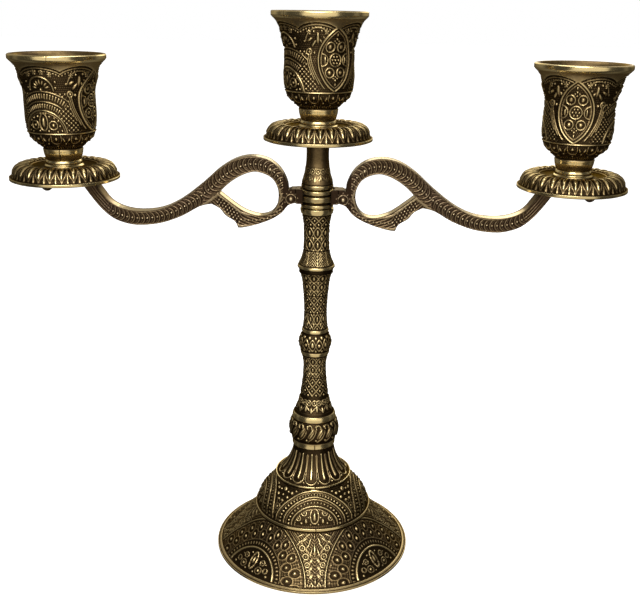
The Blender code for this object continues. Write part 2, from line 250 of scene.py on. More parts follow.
def mesh_from(name, points, quads, triangles, wear_and_painted_highlight):
    """A smooth mesh with the relief's height stored on its points."""
    mesh = bpy.data.meshes.new(name)
    mesh.vertices.add(len(points))
    mesh.vertices.foreach_set("co", np.asarray(points, np.float32).ravel() * MM)
    corners = np.concatenate([quads.ravel(), triangles.ravel()]).astype(np.int32)
    starts = np.concatenate([np.arange(len(quads)) * 4,
                             len(quads) * 4 + np.arange(len(triangles)) * 3]).astype(np.int32)
    mesh.loops.add(len(corners))
    mesh.loops.foreach_set("vertex_index", corners)
    mesh.polygons.add(len(starts))
    mesh.polygons.foreach_set("loop_start", starts)
    mesh.update(calc_edges=True)
    mesh.validate()
    mesh.shade_smooth()
    store(mesh, "wear_and_painted_highlight", wear_and_painted_highlight)
    return mesh


def store(mesh, name, values):
    layer = mesh.attributes.new(name, "FLOAT", "POINT")
    layer.data.foreach_set("value", np.asarray(values, np.float32).ravel())


def is_capped(chain):
    """Whether an outline starts and ends on the axis, and isn't a loop."""
    return chain[0][0] < 0.01 and chain[-1][0] < 0.01


def downwards(chain):
    """The outline ordered so that its outside runs down, and where its top and its foot are in it."""
    capped = is_capped(chain)
    top = max(range(len(chain)), key=lambda i: (chain[i][1], chain[i][0]))
    if not capped:
        chain = np.roll(chain, -top, axis=0)
        top = 0
    low = min(range(len(chain)), key=lambda i: (round(chain[i][1], 2), -chain[i][0]))
    if low < top:
        return chain[::-1], len(chain) - 1 - top, len(chain) - 1 - low
    if not capped and np.mean(chain[:low + 1, 0]) <= np.mean(chain[low:, 0]):
        return np.roll(chain[::-1], 1, axis=0), top, len(chain) - low
    return chain, top, low


def carved_skin(outside, turn, relief, depth, rubbed):
    """The outside sunk by its relief, and how worn each point is."""
    carved = relief(turn, outside[:, 1:], outside[:, :1], run_along(outside)[:, None])
    carved = np.broadcast_to(carved, (len(outside), turn.size))
    polished = carved > POLISHED_OVER
    carved = np.clip(carved, 0, 1)
    sunk = (depth * (1 - carved))[:, :, None]
    skin = outside[:, None, :] - sunk * outward(outside)[:, None, :]
    lifted = carved - soften(carved, 3)
    return skin, np.where(polished, 1.0, np.clip(0.10 + rubbed * carved + 0.9 * lifted, 0, 0.88))


def spun_mesh(name, chain, columns, relief, depth, facing=0.0, inner=0.3, rubbed=0.48):
    """A turned casting: its outside fine and carved, its inner walls plain.

    The chain of outline points is open where it starts and ends on the axis, and a loop otherwise.
    The more it is rubbed, the brighter what stands proud.
    """
    capped = is_capped(chain)
    chain, top, low = downwards(chain)
    before = flowing_line(chain[:top + 1], PLAIN_STEP, 0)[:-1] if top else chain[:0]
    outside = flowing_line(chain[top:low + 1], FINE_STEP)
    outside = np.clip(outside, chain.min(axis=0), chain.max(axis=0))
    rest = chain[low:] if capped else np.concatenate([chain[low:], chain[:1]])
    after = flowing_line(rest, PLAIN_STEP, 0)[1:] if len(rest) > 1 else chain[:0]
    if not capped:
        after = after[:-1]

    turn = np.arange(columns)[None, :] * 360 / columns - 180
    skin, worn = carved_skin(outside, turn - facing, relief, depth, rubbed)
    plain = [np.broadcast_to(part[:, None, :], (len(part), columns, 2)) for part in (before, after)]
    grid = np.concatenate([plain[0], skin, plain[1]])
    tint = np.concatenate([np.full((len(before), columns), inner), worn,
                           np.full((len(after), columns), inner)])
    angle = np.radians(np.broadcast_to(turn, grid.shape[:2]))
    points = np.stack([grid[..., 0] * np.sin(angle), -grid[..., 0] * np.cos(angle), grid[..., 1]], -1)
    if not capped:
        quads = faces_between(len(grid), columns, True)
        return mesh_from(name, points.reshape(-1, 3), quads, np.zeros((0, 3), int), tint)
    ends = [[0, 0, chain[0][1]], [0, 0, chain[-1][1]]]
    points = np.concatenate([points[1:-1].reshape(-1, 3), ends])
    tint = np.concatenate([tint[1:-1].ravel(), [inner, inner]])
    quads = faces_between(len(grid) - 2, columns, False)
    return mesh_from(name, points, quads, end_fans(len(points) - 2, columns), tint)


def end_fans(count, columns):
    """Triangles from the first and the last ring of points to the two points that follow them."""
    column = np.arange(columns)
    onward = (column + 1) % columns
    last_row = count - columns
    first = np.stack([np.full(columns, count), column, onward], -1)
    last = np.stack([np.full(columns, count + 1), last_row + onward, last_row + column], -1)
    return np.concatenate([first, last])


def add_object(name, data):
    made = bpy.data.objects.new(name, data)
    bpy.context.scene.collection.objects.link(made)
    return made


def place(name, mesh, material, body, nodes, at=(0, 0, 0), turned=0.0):
    """Put a finished mesh in the scene, on its body and in place of its nodes."""
    if turned:
        mesh = mesh.copy()
        mesh.transform(Matrix.Rotation(math.radians(turned), 4, "Z"))
    piece = add_object(name, mesh)
    piece.matrix_world = Matrix.Translation(at)
    if not mesh.materials:
        mesh.materials.append(material)
    bpy.context.view_layer.update()
    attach(piece, body)
    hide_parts(*nodes)
    return piece


# ---------------------------------------------------------------- shader groups and materials

CLOUDS, GRAINS = 45.0, 900.0      # how many patches and grains of patina to a metre
GRAIN_DEPTH = 0.00004


def node_group(name, inputs, outputs):
    """An empty shader group with named sockets; kinds are Float, Color or Vector."""
    group = bpy.data.node_groups.new(name, "ShaderNodeTree")
    for socket, kind, value in inputs:
        made = group.interface.new_socket(socket, in_out="INPUT", socket_type="NodeSocket" + kind)
        if value is not None:
            made.default_value = value
    for socket, kind in outputs:
        group.interface.new_socket(socket, in_out="OUTPUT", socket_type="NodeSocket" + kind)
    return group, group.nodes.new("NodeGroupInput").outputs, group.nodes.new("NodeGroupOutput")


def fill(tree, node, inputs):
    """Link the inputs that are given a socket, and set the others."""
    for socket, value in inputs.items():
        if isinstance(value, bpy.types.NodeSocket):
            tree.links.new(value, node.inputs[socket])
        else:
            node.inputs[socket].default_value = value
    return node


def math_node(tree, operation, *values, clamp=False):
    node = tree.nodes.new("ShaderNodeMath")
    node.operation = operation
    node.use_clamp = clamp
    return fill(tree, node, dict(enumerate(values))).outputs[0]


def stretch(tree, value, low, high, to_low=0.0, to_high=1.0):
    """Map a value smoothly from one range to another."""
    node = tree.nodes.new("ShaderNodeMapRange")
    node.interpolation_type = "SMOOTHSTEP"
    fill(tree, node, {"Value": value, "From Min": low, "From Max": high, "To Min": to_low, "To Max": to_high})
    return node.outputs["Result"]


def mix_colour(tree, factor, a, b):
    node = tree.nodes.new("ShaderNodeMix")
    node.data_type = "RGBA"
    first_colour, second_colour = 6, 7      # its sockets of that kind share their names with others
    return fill(tree, node, {"Factor": factor, first_colour: a, second_colour: b}).outputs[2]


def noise(tree, where, scale, rough):
    node = tree.nodes.new("ShaderNodeTexNoise")
    return fill(tree, node, {"Vector": where, "Scale": scale, "Detail": 4.0, "Roughness": rough}).outputs[0]


def grouped(tree, group, inputs):
    node = tree.nodes.new("ShaderNodeGroup")
    node.node_tree = group
    return fill(tree, node, inputs)


def new_material(name):
    material = bpy.data.materials.new(name)
    material.use_nodes = True
    return material, material.node_tree, material.node_tree.nodes["Principled BSDF"]


def make_patina_group():
    """Dark patina in the hollows, rubbed metal on what stands proud, uneven all over."""
    group, given, out = node_group(
        "rubbed_patina",
        [("Wear And Painted Highlight", "Float", 0.5), ("Hollow Colour", "Color", (0.02, 0.012, 0.006, 1)),
         ("Body Colour", "Color", (0.2, 0.14, 0.06, 1)), ("Rubbed Colour", "Color", (0.7, 0.5, 0.22, 1)),
         ("Stain Colour", "Color", (0.12, 0.07, 0.04, 1)), ("Polish", "Float", 0.25)],
        [("Colour", "Color"), ("Roughness", "Float"), ("Height", "Float")])
    where = group.nodes.new("ShaderNodeTexCoord").outputs["Object"]
    cloudy = noise(group, where, CLOUDS, 0.6)
    grain = noise(group, where, GRAINS, 0.65)
    uneven = math_node(group, "MULTIPLY_ADD", cloudy, 0.30, -0.15)
    gritty = math_node(group, "MULTIPLY_ADD", grain, 0.26, -0.13)
    lift = math_node(group, "ADD", math_node(group, "ADD", given["Wear And Painted Highlight"], uneven), gritty)
    body = mix_colour(group, stretch(group, cloudy, 0.42, 0.68), given["Body Colour"], given["Stain Colour"])
    low = mix_colour(group, stretch(group, lift, 0.08, 0.48), given["Hollow Colour"], body)
    colour = mix_colour(group, stretch(group, lift, 0.40, 1.0), low, given["Rubbed Colour"])
    rough = stretch(group, lift, 0.35, 1.0, 0.42, given["Polish"])
    scuffed = math_node(group, "ADD", rough, math_node(group, "MULTIPLY", grain, 0.10))
    even_rough = math_node(group, "SUBTRACT", scuffed, 0.05, clamp=True)
    fill(group, out, {"Colour": colour, "Roughness": even_rough, "Height": grain})
    return group


def patina_material(name, hollow, body, rubbed, stain, polish, grazing, even=None):
    """Cast brass under patina, driven by the relief height stored on the mesh, with the arms' painted top
    highlight, or by one even height.
    """
    material, tree, shader = new_material(name)
    wear_and_painted_highlight = even
    if even is None:
        stored = tree.nodes.new("ShaderNodeAttribute")
        stored.attribute_name = "wear_and_painted_highlight"
        wear_and_painted_highlight = stored.outputs["Fac"]
    patina = grouped(tree, PATINA, {
        "Hollow Colour": (*hollow, 1), "Body Colour": (*body, 1), "Rubbed Colour": (*rubbed, 1),
        "Stain Colour": (*stain, 1), "Polish": polish, "Wear And Painted Highlight": wear_and_painted_highlight}).outputs
    dents = fill(tree, tree.nodes.new("ShaderNodeBump"), {
        "Strength": 0.6, "Distance": GRAIN_DEPTH, "Height": patina["Height"]})
    fill(tree, shader, {
        "Metallic": 1.0, "Specular Tint": (*grazing, 1), "Base Color": patina["Colour"],
        "Roughness": patina["Roughness"], "Normal": dents.outputs["Normal"]})
    return material


PATINA = make_patina_group()
antique_brass = patina_material("antique_brass", hollow=(0.040, 0.025, 0.011), body=(0.31, 0.215, 0.095),
                                rubbed=(0.84, 0.67, 0.33), stain=(0.17, 0.115, 0.062), polish=0.21,
                                grazing=(0.50, 0.45, 0.36))
arm_brass = patina_material("arm_brass", hollow=(0.036, 0.021, 0.012), body=(0.22, 0.155, 0.080),
                            rubbed=(0.84, 0.70, 0.42), stain=(0.15, 0.10, 0.062), polish=0.2,
                            grazing=(0.75, 0.68, 0.55))
zinc_steel = patina_material("zinc_steel", hollow=(0.10, 0.10, 0.10), body=(0.30, 0.30, 0.29),
                             rubbed=(0.55, 0.55, 0.54), stain=(0.24, 0.23, 0.21), polish=0.3,
                             grazing=(0.8, 0.8, 0.8), even=0.75)


# ---------------------------------------------------------------- candle cups

CUP_FACING = {"centre": 28.7, "left": 77.6, "right": -19.5}
ALMOND_MIDDLE = 20.4                  # below the rim, as all the cup's levels are
ALMOND_ARC = 16.0
ALMOND_OFFSET = 7.4
FAN_FOOT = 34.5
FAN_OPENS = math.radians(50)          # how steep the fan's dashed rows begin
OVER_FAN_HALF, OVER_FAN_RISE = 5.9, 5.8
TULIP_AT = 29.5                       # degrees from the medallion
CUP_SEAM = -72.6
ARCH_START, ARCH_END = 3.0, 58.0      # where the arch over the tulip stands, in degrees from the medallion


def almond_medallion(u, drop):
    """The upright pointed medallion and what fills it; u is the distance from its middle line."""
    inward = ALMOND_ARC - np.hypot(u + ALMOND_OFFSET, drop - ALMOND_MIDDLE)
    v = drop - ALMOND_MIDDLE
    filling = [eye(u, v, 2.75, 0.34, 0.6), bead_circle(u, v, 6, 1.55, 0.55),
               teardrop(u - 5.0, v, 0.5, 2.2), ring(u - 6.3, v, 2.6, 0.28) * (u < 6.4)]
    for side in (-1, 1):
        filling += [ring(u - 2.75, v - 5.4 * side, 2.05, 0.32), 0.9 * bead(u - 2.75, v - 5.4 * side, 1.15),
                    beads(u, v, (0, 8.7 * side, 0.6), (1.0, 7.9 * side, 0.42), (0, 7.1 * side, 0.42)),
                    teardrop(u, v - 10.6 * side, 0.35, 0.9)]
    outline = tallest(ridge(inward - 0.5, 0.6), 0.7 * ridge(inward - 1.75, 0.32))
    return tallest(outline, tallest(*filling) * (inward > 1.6)), inward


def fan_panel(w, drop):
    """The round fan on each side of the cup; w is the distance from its middle line."""
    out = np.hypot(w, drop - FAN_FOOT)
    sweep = np.arctan2(FAN_FOOT - drop, w)
    upper = sweep > FAN_OPENS
    rows = [0.8 * ridge(fold(sweep * 13, 1.2), 0.34) * band(out, 11.4, 13.6),
            0.8 * ridge(fold(sweep * 16.5, 1.3), 0.34) * band(out, 15.5, 18.0),
            0.75 * ridge(out - 14.4, 0.3), 0.75 * ridge(out - 18.7, 0.3)]
    inside = [GLINT * teardrop(w, drop - 29.3, 0.85, 2.6), 0.8 * oval(w, drop - 29.2, 2.0, 3.8, 0.26),
              eye(w - 4.6, drop - 30.6, 1.9, 0.3, 0.85),
              beads(w, drop, (3.0, 26.7, 0.6), (5.2, 27.4, 0.55), (1.3, 25.4, 0.45), (7.6, 31.0, 0.5),
                    (6.9, 28.6, 0.5), (8.4, 33.2, 0.5), (6.4, 33.6, 0.45), (2.3, 33.2, 0.5))]
    above = [ridge((over_fan(w, drop) - 1) * OVER_FAN_RISE, 0.42) * (drop < 15.6),
             flower(w - 1.8, drop - 7.4, 1.25), flower(w - 5.4, drop - 8.4, 1.25),
             beads(w, drop, (0, 15.0, 0.6), (7.4, 11.6, 0.6), (7.0, 14.2, 0.55))]
    for lean in (0, 25, 50, 75):
        angle = math.radians(lean)
        above.append(leaf(w - 3.1 * math.sin(angle), drop - 14.8 + 3.1 * math.cos(angle), lean, 0.42, 1.35))
    carved = tallest(GLINT * ridge(out - 10.5, 0.48), 0.7 * ridge(out - 9.6, 0.26), tallest(*rows) * upper,
                     tallest(*inside) * (out < 9.6), tallest(*above) * (out > 18.8))
    return carved, out, upper


def over_fan(w, drop):
    """How far out a point is from the foot of the small arch over the fan."""
    return arch(w, drop - 15, OVER_FAN_HALF, OVER_FAN_RISE)


def tulip_panel(turn_from_almond, radius, drop, inward, clear):
    """A tulip on its bent stems over a beaded trellis, between the medallion and the fan."""
    u = np.radians(turn_from_almond - TULIP_AT) * radius
    petals = [GLINT * teardrop(u, drop - 11.2, 0.95, 2.8)]
    for across, level, lean, size in ((-1.8, 13.0, 36, 2.3), (1.8, 13.4, -38, 2.2),
                                      (-3.6, 11.6, 55, 1.8), (3.75, 11.9, -58, 1.7)):
        petals.append(GLINT * leaf(u - across, drop - level, lean, 0.66, size))
    gap = 1.4 + 2.5 * ramp(29 - drop, 13) ** 1.4
    stems = [0.85 * ridge(inward + gap + 0.85 * k, 0.3) * band(drop, 15.4 + 2 * k, 33 - 2 * k)
             for k in range(3)]
    mesh = trellis(u, drop, 1.5, 0.2) * (inward < -gap - 2.1) * band(drop, 16.4, 34)
    scrolls = tallest(eye(u - 4.0, drop - 17.0, 1.25, 0.32, 0.55), GLINT * bead(u - 1.5, drop - 17.4, 0.62),
                      flower(u - 4.2, drop - 8.8, 1.3), flower(u + 4.0, drop - 8.6, 1.3),
                      beads(u, drop, (1.9, 8.4, 0.55), (-1.8, 8.2, 0.55), (6.2, 12.6, 0.6)),
                      0.8 * ring(u, drop - 12.4, 5.6, 0.32) * (drop < 12.5))
    parts = tallest(*petals, *stems, scrolls * (inward < -0.3))
    return tallest(parts, mesh * (np.hypot(u - 4.0, drop - 17.4) > 1.7)) * clear


def cup_underside(turn, radius, drop):
    """Ten beads in tongues round the bowl's underside."""
    u, between = columns_round(turn, radius, 10)
    parts = [GLINT * bead(u, drop - 37.2, 0.85), 0.7 * ring(u, np.clip(drop - 37.4, 0, None), 2.3, 0.28),
             bead(between, drop - 39.6, 0.5), bead(u, drop - 40.8, 0.42),
             0.5 * ridge(fold(u, 1.1), 0.3) * band(drop, 41.0, 42.4)]
    for side in (-1, 1):
        parts.append(leaf(between - side * 1.1, drop - 37.6, side * 28, 0.42, 1.5))
    return tallest(*parts) * band(drop, 35.2, 43.2)


def cup_arches(angle):
    """How far below the rim the carving starts, in two arches on each side of a medallion."""
    tulip_side = np.clip((angle - ARCH_START) / (ARCH_END - ARCH_START), 0, 1)
    fan_side = (angle - ARCH_END) / (180 - 2 * ARCH_END)
    return 7.0 - 2.6 * np.sin(np.pi * np.where(angle < ARCH_END, tulip_side, fan_side)) ** 0.7


def cup_relief(turn, level, radius, run):
    """The whole outside of a candle cup, from its plain rim to its plain neck."""
    drop = -level
    angle = np.abs(fold(turn, 180))
    u, w = np.radians(angle) * radius, np.radians(90 - angle) * radius
    medallion, inward = almond_medallion(u, drop)
    fan, out, upper = fan_panel(w, drop)
    clear = (out > np.where(upper, 19.0, 11.1)) & (over_fan(w, drop) > 1.1)
    tulips = tulip_panel(angle, radius, drop, inward, clear)
    carved = tallest(medallion * (inward > 0), fan * (inward < -0.4), tulips * (inward < -0.4))
    beside = drop - cup_arches(angle)
    carved = carved * (beside > 0.2) * (drop < 34.3)
    hung = bead(fold(u, 1.35), beside - 2.35, 0.45) * (inward < -0.4) * (angle > ARCH_START)
    edges = tallest(0.92 * ramp(-beside, 0.3), ridge(beside, 0.42), 0.85 * hung,
                    0.75 * ridge(beside - 1.3, 0.28) * (inward < 0), ridge(drop - 34.7, 0.42))
    ground = 0.3 * stipple(u, drop, 0.85) * band(drop, 5, 42.4)
    plain = POLISHED * tallest(ramp(3.4 - drop, 0.5), ramp(drop - 42.6, 0.6))
    plain = plain * (1 - 0.55 * ridge(arc(turn - CUP_SEAM, 180, radius), 0.24))
    return tallest(carved, edges, cup_underside(turn, radius, drop), ground, plain)


# ---------------------------------------------------------------- drip pans

GADROONS = 28
PAN_FACING = {"centre": 4.0, "left": 0.0, "right": 3.0}


def pan_relief(turn, level, radius, run):
    """Bright tongues round a dished pan, with a plain boss and a plain lip."""
    u, between = columns_round(turn, radius, GADROONS)
    half = np.radians(180 / GADROONS) * radius - 0.12
    low = 22.0
    drawn_in = np.clip((run - 15.0) / (low - 15.0), 0, 1)
    lancet = 0.62 * ridge(np.abs(u) - half * (1 - drawn_in ** 1.7), 0.3) * band(run, 9.8, low + 0.2)
    along = np.clip((run - 9.6) / 11.6, 0.02, 1)
    swell = 0.34 + 0.80 * np.sin(np.pi * along ** 0.8) ** 1.3
    rib = GLINT * ridge(u, swell) * band(run, 10.0, 21.4, 1.0)
    dart = 0.7 * ridge(between, 0.14 * np.clip(run - 17.4, 0.1, 4)) * band(run, 17.4, 22.3)
    petals = 0.14 * ridge(fold(between, 1.6), 0.45) * band(run, 4.6, 8.4)
    plain = POLISHED * tallest(ramp(3.4 - run, 0.5), ramp(run - 22.7, 0.4))
    return tallest(rib, lancet, dart, petals, 0.45 * ridge(run - 9.2, 0.35), plain)


# ---------------------------------------------------------------- base

BASE_FACING = 3.8
FLUTES = 14
FLUTE_FACING = -2.0 - BASE_FACING
DOME_FOOT = 40.0          # how far down the outline the dome's arches stand
DOME_ARCH = (42.5, 18.2)  # half the outer arch's width in degrees, and its rise
SKIRT_FOOT = 70.2         # and the skirt's fans
SPLIT_HEIGHT = 21.8       # the groove under the second bright ring, where the casting's two skins meet


def fluted_neck(turn, radius, run):
    """Bright ribs in round-ended tongues."""
    u, between = columns_round(turn - FLUTE_FACING, radius, FLUTES)
    half = np.radians(180 / FLUTES) * radius - 0.45
    rib = GLINT * ridge(u, 0.45 + 0.4 * ramp(run - 4, 8)) * band(run, 2.0, 15.7, 0.8)
    tongue = ring(u, np.clip(run - 17.6 + half, 0, None), half, 0.34)
    tongue = tongue * (0.5 + 0.4 * ramp(run - 13.5, 2.5)) * band(run, 3, 18.2)
    fillet = (0.45 + 0.03 * run) * ridge(between, 0.42 + 0.03 * run) * band(run, 2.3, 12.2, 0.8)
    return tallest(rib, tongue, fillet, bead(between, run - 16.8, 0.55)) * (run < 18.6)


def dome_arches(turn, radius, run):
    """Nested arches standing on the second ring, four times round the dome."""
    angle = fold(turn, 90)
    v = DOME_FOOT - run
    u = np.abs(np.radians(angle) * radius)
    outer = arch(angle, v, *DOME_ARCH)
    middle = arch(angle, v, 33.0, 14.8)
    inner = arch(angle, v, 24.0, 10.3)
    sweep = np.degrees(np.arctan2(v / 15, np.abs(angle) / 33))
    lines = []
    for out, size, half, within in ((outer, 17, 0.34, 0.055), (middle, 14, 0.33, 0.075),
                                    (inner, 10, 0.33, 0.14)):
        lines += [ridge((out - 1) * size, half), 0.55 * ridge((out - 1 + within) * size, 0.22)]
    row = np.hypot((middle - 0.83) * 14, fold(sweep, 9) * 0.22)
    dash_width = 0.1 + 7 * np.clip(0.94 - outer, 0, 0.09)
    dashes = ridge(fold(sweep, 6.4) * 0.27, dash_width) * band(outer, 0.85, 0.935, 0.02)
    spots = bead((outer - 0.80) * 17, fold(sweep + 4, 8) * 0.26, 0.42) * (middle > 1.03)
    between = tallest(GLINT * ridge(row, 0.55) * (inner > 1.05), 0.9 * dashes, 0.7 * spots)
    motif = tallest(0.8 * oval(u, v - 5.2, 2.1, 3.9, 0.3), GLINT * teardrop(u, 5.2 - v, 0.95, 2.6),
                    0.8 * ring(u - 5.4, v - 6.6, 1.3, 0.3), GLINT * teardrop(u - 4.4, 2.6 - v, 0.85, 1.5),
                    eye(u - 8.4, v - 3.8, 1.2, 0.34, 0.55),
                    beads(u, v, (5.4, 6.6, 0.55), (10.3, 1.4, 0.7), (2.0, 0.9, 0.5), (2.8, 8.6, 0.6),
                          (6.7, 1.2, 0.65), (3.1, 4.6, 0.5), (7.6, 6.4, 0.5)))
    return tallest(tallest(*lines) * (v > -0.2), between, motif * (inner < 0.84))


def dome_flowers(turn, radius, run):
    """Beads hung in a V from a petal, at each corner between two sets of arches."""
    v = run - 24
    u = np.abs(arc(turn - 45, 90, radius))
    spots = tallest(GLINT * beads(u, v, (4.6, 0.8, 0.95), (3.1, 3.4, 0.85)),
                    GLINT * teardrop(u, v + 0.4, 1.15, 1.7), 0.7 * ring(u, v - 9.3, 1.5, 0.3),
                    beads(u, v, (1.2, 5.6, 0.75), (0, 2.8, 0.6), (2.4, 0.6, 0.6), (6.3, -0.9, 0.7),
                          (0, 9.3, 0.6)))
    veins = 0.5 * ridge(fold(u + 0.45 * v, 1.5), 0.32) * band(run, 29, 39.5)
    return tallest(spots, veins) * (arch(fold(turn, 90), DOME_FOOT - run, *DOME_ARCH) > 1.04)


def skirt_fans(turn, radius, run):
    """Four round fans of ringed beads standing on the foot."""
    angle = fold(turn - 45, 90)
    v = SKIRT_FOOT - run
    outer = arch(angle, v, 39.0, 27.6)
    sweep = np.degrees(np.arctan2(v / 20, angle / 28))
    parts = [0.95 * ridge((outer - 1) * 27, 0.46)]
    hollow = np.zeros(outer.shape)
    for half_angle, rise, shift, size in ((27.5, 19.6, 5.5, 1.0), (32.6, 23.4, 15.0, 1.15)):
        out = (arch(angle, v, half_angle, rise) - 1) * rise
        across = fold(sweep - shift, 19.1) * math.radians(1) * (rise + 1)
        far = np.hypot(across, out * 0.85) - size
        parts += [GLINT * teardrop(across, -out, 0.85 * size, 1.1 * size),
                  0.5 * ridge(far - 1.3, 0.34) * (outer < 0.97)]
        hollow = np.maximum(hollow, ramp(1.25 - far, 0.4))
    small = (arch(angle, v, 36.3, 26.0) - 1) * 26
    thin = arch(angle, v, 22.8, 16.9)
    close = arch(angle, v, 18.2, 12.7)
    net = 0.12 + 0.14 * ridge(fold(sweep * 0.36, 1.3), 0.45) + 0.10 * ridge(fold(outer * 27, 1.2), 0.4)
    dashes = ridge(fold(sweep, 7.2) * 0.27, 0.5) * band(arch(angle, v, 20.6, 14.9), 0.94, 1.06, 0.03)
    parts += [0.8 * bead(fold(sweep - 5, 9.5) * 0.40, small, 0.5), 0.6 * dashes,
              net * (1 - hollow) * (thin > 1.03) * (outer < 0.97),
              0.55 * ridge((thin - 1) * 17, 0.3), 0.95 * ridge((close - 0.98) * 13, 0.62)]
    a = np.abs(np.radians(angle) * radius)
    inside = tallest(teardrop(a, 6.6 - v, 0.62, 2.1), oval(a, v - 6.2, 1.7, 4.2, 0.3),
                     eye(a - 5.6, v - 6.8, 1.25, 0.3, 0.45), 0.8 * ring(a - 5.2, v - 2.7, 1.7, 0.28),
                     ring(a - 9.0, v - 3.6, 1.2, 0.28),
                     beads(a, v, (5.2, 2.7, 0.85), (10.8, 1.2, 0.62), (2.6, 1.2, 0.5), (3.0, 9.4, 0.5),
                           (7.8, 6.6, 0.42)))
    return tallest(*parts, inside * (close < 0.88)) * (v > 0), outer


def skirt_palmette(turn, radius, run):
    """An upright leaf spray over paired curls, in the gap between two fans."""
    u = np.abs(arc(turn, 90, radius))
    v = SKIRT_FOOT - run
    parts = [GLINT * teardrop(u, 18.6 - v, 0.75, 3.4), teardrop(u, 24.6 - v, 0.5, 1.6)]
    for reach, level, lean in ((1.7, 17.2, 18), (3.2, 20.0, 36), (5.0, 22.6, 52),
                               (2.2, 22.6, 26), (7.2, 24.6, 62)):
        parts.append(leaf(u - reach, level - v, -lean, 0.56, 2.7))
    for reach, level, lean in ((1.7, 13.0, -30), (1.9, 9.2, -34), (1.8, 5.4, -38)):
        a, b = tilted(u - reach, level - v, lean)
        parts.append(GLINT * teardrop(a, b, 0.8, 2.3) * (1 - 0.6 * ridge(a, 0.24)))
    for reach, level, size in ((4.6, 14.6, 1.4), (3.9, 10.6, 1.2), (3.6, 6.9, 1.15), (6.3, 18.6, 1.3)):
        parts += [0.85 * ring(u - reach, v - level, size, 0.34), GLINT * bead(u - reach, v - level, 0.6)]
    parts += [beads(u, v, (5.5, 12.4, 0.55), (7.9, 21.4, 0.7), (0, 15.0, 0.55), (3.4, 3.2, 0.6)),
              GLINT * teardrop(u, 3.0 - v, 0.7, 2.0), GLINT * bead(u - 1.8, v - 1.9, 0.85),
              0.85 * ridge(v - 12.6 - 1.25 * u, 0.36) * (v > 15), 0.85 * ridge(v - 28.0 + 0.9 * u, 0.36),
              0.5 * ridge(fold(v - 1.2 * u, 1.7), 0.42),
              GLINT * ridge(fold(u + 0.2 * v, 1.4), 0.42) * band(v, 0.2, 1.6)]
    return tallest(*parts)


def base_relief(turn, level, radius, run):
    """Fluted neck, arched dome and fan skirt, between plain bright rings."""
    neck = fluted_neck(turn, radius, run)
    dome = tallest(dome_arches(turn, radius, run), dome_flowers(turn, radius, run)) * band(run, 21.4, 40.3)
    fans, outer = skirt_fans(turn, radius, run)
    skirt = tallest(fans, skirt_palmette(turn, radius, run) * (outer > 1.03)) * band(run, 44.0, 70.4)
    ground = 0.22 * stipple(np.radians(turn) * 26, run, 0.9) * band(run, 21.4, 40.4)
    sparse = 0.2 * stipple(np.radians(turn) * 40, run, 0.95) * band(run, 43.8, 70.4) * (outer > 1.02)
    plain = tallest(0.82 * band(run, 18.8, 20.3), band(run, 41.0, 43.4))
    foot = 0.75 * band(run, 70.7, 72.4) + 0.95 * ramp(run - 72.3, 0.4)
    seam = 1 - 0.6 * ridge(arc(turn - 1.4, 180, radius), 0.26)
    return tallest(neck, dome, skirt, ground + sparse, foot, POLISHED * plain * seam, LOWEST + 0 * turn * run)


# ---------------------------------------------------------------- stem

KNOP_WAVES = 7

def bulb_relief(turn, level, radius, run):
    """Leaves that lean one way round the bulb, over a plain ring."""
    u = arc(turn + 4, 22.5, radius)
    between = arc(turn + 15.2, 22.5, radius)
    a, b = tilted(u, 67.3 - level, 27)
    curl = ring(u + 1.0, level - 70.4, 1.2, 0.32) * (level > 69.6)
    leaves = GLINT * teardrop(a, b, 1.35, 3.9) * (1 - 0.7 * ridge(a + 0.25 * np.sin(b), 0.34))
    carved = tallest(leaves, curl * (leaves < 0.1), bead(between, level - 71.0, 0.75),
                     0.85 * ridge(a - 1.9 + 0.06 * b * b, 0.3), GLINT * bead(between, level - 63.5, 0.6),
                     LOWEST + 0 * u) * band(level, 62.3, 72.6)
    plain = POLISHED * band(level, 57, 60.7)
    return tallest(carved, plain * (1 - 0.6 * ridge(arc(turn - 5, 180, radius), 0.25)))


def laced_columns(turn, radius, level, count, top, bottom, pitch):
    """Upright waves that cross between columns, with a drop in every loop they make."""
    u, between = columns_round(turn, radius, count)
    half = np.radians(180 / count) * radius
    down = top - level
    v, node = fold(down - pitch / 2, pitch), fold(down, pitch)
    lace = np.abs(u) - (half - 0.2) * np.abs(np.sin(np.pi * down / pitch))
    return tallest(0.85 * ridge(lace, 0.36), GLINT * teardrop(u, v, 0.36 * half, 0.27 * pitch),
                   GLINT * teardrop(between, node, 0.34 * half, 0.22 * pitch), bead(u, node, 0.5),
                   0.8 * bead(np.abs(u) - 0.62 * half, v - 0.4 * pitch, 0.4)) * band(level, bottom, top)


def bead_net(turn, radius, level, count, top, bottom, pitch):
    """A slanting net with a bead in each mesh."""
    down, across = (top - level) / pitch, turn * count / 360
    size = 0.7 * np.radians(360 / count) * radius
    cords = tallest(ridge(fold(across + down, 1) * size, 0.3), ridge(fold(across - down, 1) * size, 0.3))
    middles = bead(fold(across + down + 0.5, 1) * size, fold(across - down + 0.5, 1) * size, 0.6)
    return tallest(0.7 * cords, GLINT * middles) * band(level, bottom, top)


def leaning_veins(turn, radius, level, count, top, bottom, lean):
    """Fine veins that part to both sides of each leaf."""
    u = np.abs(arc(turn, 360 / count, radius))
    lines = 0.85 * ridge(fold(level - lean * u, 1.5), 0.4)
    return tallest(lines, ridge(u, 0.36)) * band(level, bottom, top)


def curled_leaves(turn, radius, level, count, middle):
    """Pairs of curls under a drop, side by side round the stem."""
    u, between = columns_round(turn, radius, count)
    u, v = np.abs(u), level - middle
    return tallest(ring(u - 1.5, v - 1.6, 1.2, 0.36), GLINT * bead(u - 1.5, v - 1.6, 0.6),
                   GLINT * teardrop(u, -v - 1.9, 0.75, 1.6), ridge(v + 3.0 - 1.1 * u, 0.36) * (v < 0.4),
                   GLINT * teardrop(between, -v - 1.2, 0.8, 1.7), bead(between, v - 2.4, 0.62))


